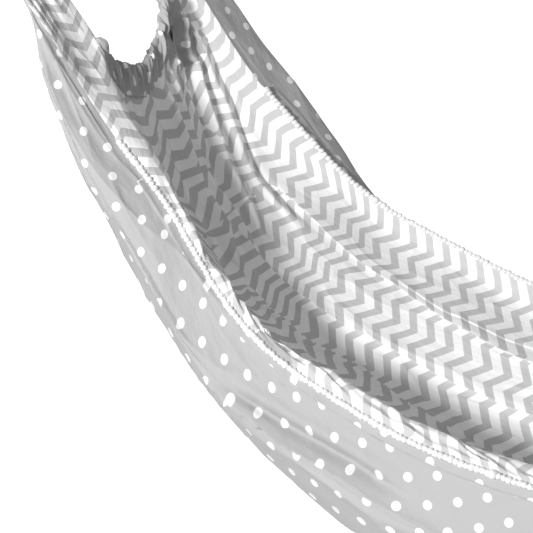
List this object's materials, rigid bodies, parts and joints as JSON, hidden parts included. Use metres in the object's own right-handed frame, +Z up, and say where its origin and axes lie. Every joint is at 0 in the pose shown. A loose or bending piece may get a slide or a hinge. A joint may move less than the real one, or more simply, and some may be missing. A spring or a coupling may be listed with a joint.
{
  "type": "hanging baby cradle",
  "caption": "Boat-shaped lined cotton sling with bobble-trimmed rims, hung by gathered fabric legs from wooden spreader bars, eye bolts and carabiners, so that it swings sideways.",
  "frame": {"origin": "midway between the two hooks that the cradle hangs on, at the height where they pass through the tops of the carabiners", "axes": "+X from the head end to the foot end, +Y to the far side, +Z up"},
  "size_m": [1.7064, 0.4972, 0.8238],
  "materials": {
    "dotted_cotton": "matt light grey printed cotton with small white dots",
    "zigzag_cotton": "matt white cotton with light grey zigzag stripes",
    "trim_white": "soft white bobbles on a woven tape",
    "elastic": "woven elastic",
    "beech": "oiled beech, satin",
    "zinc_steel": "zinc plated, satin",
    "polished_steel": "polished stainless steel"
  },
  "bodies": {
    "carabiners": {"carabiner_body_head": "polished_steel", "gate_pin_head": "zinc_steel", "carabiner_body_foot": "polished_steel", "gate_pin_foot": "zinc_steel"},
    "sling": {"outer_side_panel_near": "dotted_cotton", "outer_side_panel_far": "dotted_cotton", "outer_bottom_panel": "dotted_cotton", "outer_head_panel": "dotted_cotton", "outer_foot_panel": "dotted_cotton", "elastic_casing_head": "dotted_cotton", "elastic_casing_foot": "dotted_cotton", "lining_side_near": "zigzag_cotton", "lining_side_far": "zigzag_cotton", "lining_floor": "zigzag_cotton", "lining_head_panel": "zigzag_cotton", "lining_foot_panel": "zigzag_cotton", "elastic_band_head": "elastic", "leg_head_near": "dotted_cotton", "bar_sleeve_head_near": "dotted_cotton", "end_knob_head_near": "beech", "leg_head_far": "dotted_cotton", "bar_sleeve_head_far": "dotted_cotton", "end_knob_head_far": "beech", "spreader_bar_head": "beech", "eye_bolt_head": "zinc_steel", "washer_head": "zinc_steel", "lock_nut_head": "zinc_steel", "elastic_band_foot": "elastic", "leg_foot_near": "dotted_cotton", "bar_sleeve_foot_near": "dotted_cotton", "end_knob_foot_near": "beech", "leg_foot_far": "dotted_cotton", "bar_sleeve_foot_far": "dotted_cotton", "end_knob_foot_far": "beech", "spreader_bar_foot": "beech", "eye_bolt_foot": "zinc_steel", "washer_foot": "zinc_steel", "lock_nut_foot": "zinc_steel", "bobble_trim_near": "trim_white", "bobble_trim_far": "trim_white"},
    "gate_head": {"carabiner_gate_head": "polished_steel", "gate_spring_head": "zinc_steel"},
    "gate_foot": {"carabiner_gate_foot": "polished_steel", "gate_spring_foot": "zinc_steel"}
  },
  "joints": [
    {"name": "side_swing", "type": "hinge", "parent": "carabiners", "child": "sling", "pos_m": [0, 0, -0.04111], "axis": [1, 0, 0], "range_deg": [-25, 25]},
    {"name": "head_gate_hinge", "type": "hinge", "parent": "carabiners", "child": "gate_head", "pos_m": [-0.80689, 0, -0.01874], "axis": [0, 1, 0], "range_deg": [-25, 0], "stiffness_Nm_per_rad": 0.02, "springref_deg": 17.19},
    {"name": "foot_gate_hinge", "type": "hinge", "parent": "carabiners", "child": "gate_foot", "pos_m": [0.80689, 0, -0.01874], "axis": [0, 1, 0], "range_deg": [0, 25], "stiffness_Nm_per_rad": 0.02, "springref_deg": -17.19}
  ]
}
